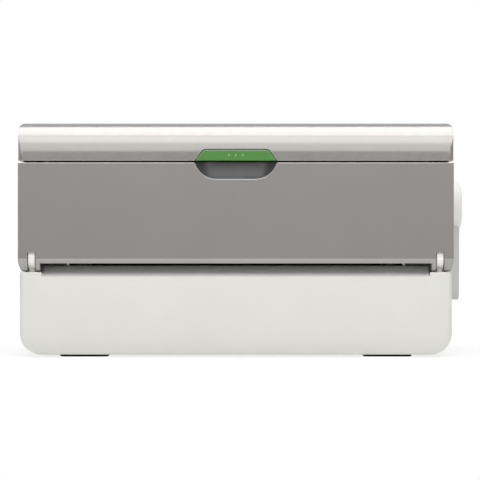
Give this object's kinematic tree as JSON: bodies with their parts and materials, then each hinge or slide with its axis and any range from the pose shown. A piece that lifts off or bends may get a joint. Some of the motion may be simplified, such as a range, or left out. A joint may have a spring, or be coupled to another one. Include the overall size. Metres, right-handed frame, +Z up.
{
  "type": "hand-cranked film cartridge machine",
  "caption": "Tabletop hand-cranked machine that feeds paper from a fold-down front tray between geared rollers and film rolls, with a latch button and a rear cutter.",
  "frame": {"origin": "on the table under the middle of the body's footprint", "axes": "+X to the viewer's right towards the crank, -Y towards the viewer and the tray, +Z up"},
  "size_m": [0.3608, 0.1883, 0.186],
  "materials": {
    "shell_white": "moulded, fine satin grain",
    "cover_silver": "satin silver paint on moulded plastic",
    "tray_grey": "satin warm grey",
    "liner_grey": "fine grain",
    "well_dark": "dark grey, fine grain",
    "button_green": "satin green",
    "dot_green": "satin light green",
    "crank_grey": "satin light grey",
    "steel": "zinc plated, brushed",
    "nylon": "natural nylon",
    "brass": "turned",
    "rubber_black": "matte",
    "roller_rubber": "ground rubber",
    "film_clear": "wound clear film",
    "core_brown": "pressed fibre tube",
    "black_plastic": "fine grain"
  },
  "bodies": {
    "housing": {"base_housing": "shell_white", "rubber_feet": "rubber_black", "top_cover": "cover_silver", "cover_screws": "steel", "left_side_frame": "steel", "right_side_frame": "steel", "frame_tie_bars": "steel", "frame_screws": "steel", "lower_roller_bushes": "nylon", "upper_roller_blocks": "nylon", "pressure_springs": "steel", "crank_bushes": "brass", "left_gear_cover": "black_plastic", "right_gear_cover": "black_plastic", "exit_chute": "black_plastic", "cutter_rail": "steel", "rail_brackets": "black_plastic", "hinge_pins": "steel", "latch_bracket": "black_plastic", "latch_pin": "steel", "button_springs": "steel", "cartridge_left_end": "shell_white", "cartridge_right_end": "shell_white", "cartridge_feed_plate": "liner_grey", "cartridge_guards": "shell_white"},
    "tray": {"feed_tray": "tray_grey", "tray_liner": "liner_grey", "finger_cup": "well_dark"},
    "button": {"release_button": "button_green", "button_dots": "dot_green"},
    "latch": {"latch_lever": "black_plastic"},
    "crank": {"crank_shaft": "steel", "crank_gear": "nylon", "crank_arm": "crank_grey", "crank_hub": "shell_white", "crank_screw": "steel", "handle_pin": "steel"},
    "handle": {"handle_stem": "steel"},
    "grip": {"handle_grip": "crank_grey"},
    "upper_roller": {"upper_roller_shaft": "steel", "upper_roller_sleeve": "roller_rubber", "upper_roller_gear": "nylon"},
    "lower_roller": {"lower_roller_shaft": "steel", "lower_roller_sleeve": "roller_rubber", "lower_roller_gear": "nylon"},
    "upper_supply": {"upper_film_roll": "film_clear", "upper_roll_core": "core_brown"},
    "lower_supply": {"lower_film_roll": "film_clear", "lower_roll_core": "core_brown"},
    "cutter": {"cutter_slider": "button_green", "cutter_blade": "steel"}
  },
  "joints": [
    {"name": "tray_fold", "type": "hinge", "parent": "housing", "child": "tray", "pos_m": [0, -0.0775, 0.0787], "axis": [1, 0, 0], "range_deg": [0, 93]},
    {"name": "button_press", "type": "slide", "parent": "housing", "child": "button", "axis": [0, 1, 0], "range_m": [0, 0.003], "stiffness_N_per_m": 500, "springref_m": -0.002, "deforming": ["button_springs"]},
    {"name": "latch_lift", "type": "hinge", "parent": "housing", "child": "latch", "pos_m": [0, -0.064, 0.155], "axis": [1, 0, 0], "range_deg": [-18.4, 0]},
    {"name": "crank_turn", "type": "hinge", "parent": "housing", "child": "crank", "pos_m": [0.15, 0.022, 0.12075], "axis": [1, 0, 0], "continuous": true},
    {"name": "handle_fold", "type": "hinge", "parent": "crank", "child": "handle", "pos_m": [0.1826, 0.022, 0.05265], "axis": [0, 1, 0], "range_deg": [0, 90]},
    {"name": "grip_spin", "type": "hinge", "parent": "handle", "child": "grip", "pos_m": [0.1826, 0.022, 0.078], "axis": [0, 0, 1], "continuous": true},
    {"name": "upper_roller_turn", "type": "hinge", "parent": "housing", "child": "upper_roller", "pos_m": [0, 0.022, 0.0945], "axis": [1, 0, 0], "continuous": true},
    {"name": "lower_roller_turn", "type": "hinge", "parent": "housing", "child": "lower_roller", "pos_m": [0, 0.022, 0.0695], "axis": [1, 0, 0], "continuous": true},
    {"name": "upper_supply_turn", "type": "hinge", "parent": "housing", "child": "upper_supply", "pos_m": [0, -0.028, 0.119], "axis": [1, 0, 0], "continuous": true},
    {"name": "lower_supply_turn", "type": "hinge", "parent": "housing", "child": "lower_supply", "pos_m": [0, -0.028, 0.048], "axis": [1, 0, 0], "continuous": true},
    {"name": "cutter_slide", "type": "slide", "parent": "housing", "child": "cutter", "axis": [-1, 0, 0], "range_m": [0, 0.272]}
  ],
  "couplings": [
    {"joint": "upper_roller_turn", "follows": "crank_turn", "ratio": -1.1},
    {"joint": "lower_roller_turn", "follows": "crank_turn", "ratio": 1.1},
    {"joint": "upper_supply_turn", "follows": "crank_turn", "ratio": 0.48518},
    {"joint": "lower_supply_turn", "follows": "crank_turn", "ratio": -0.56604},
    {"joint": "latch_lift", "follows": "button_press", "rad_per_m": -106.67}
  ]
}
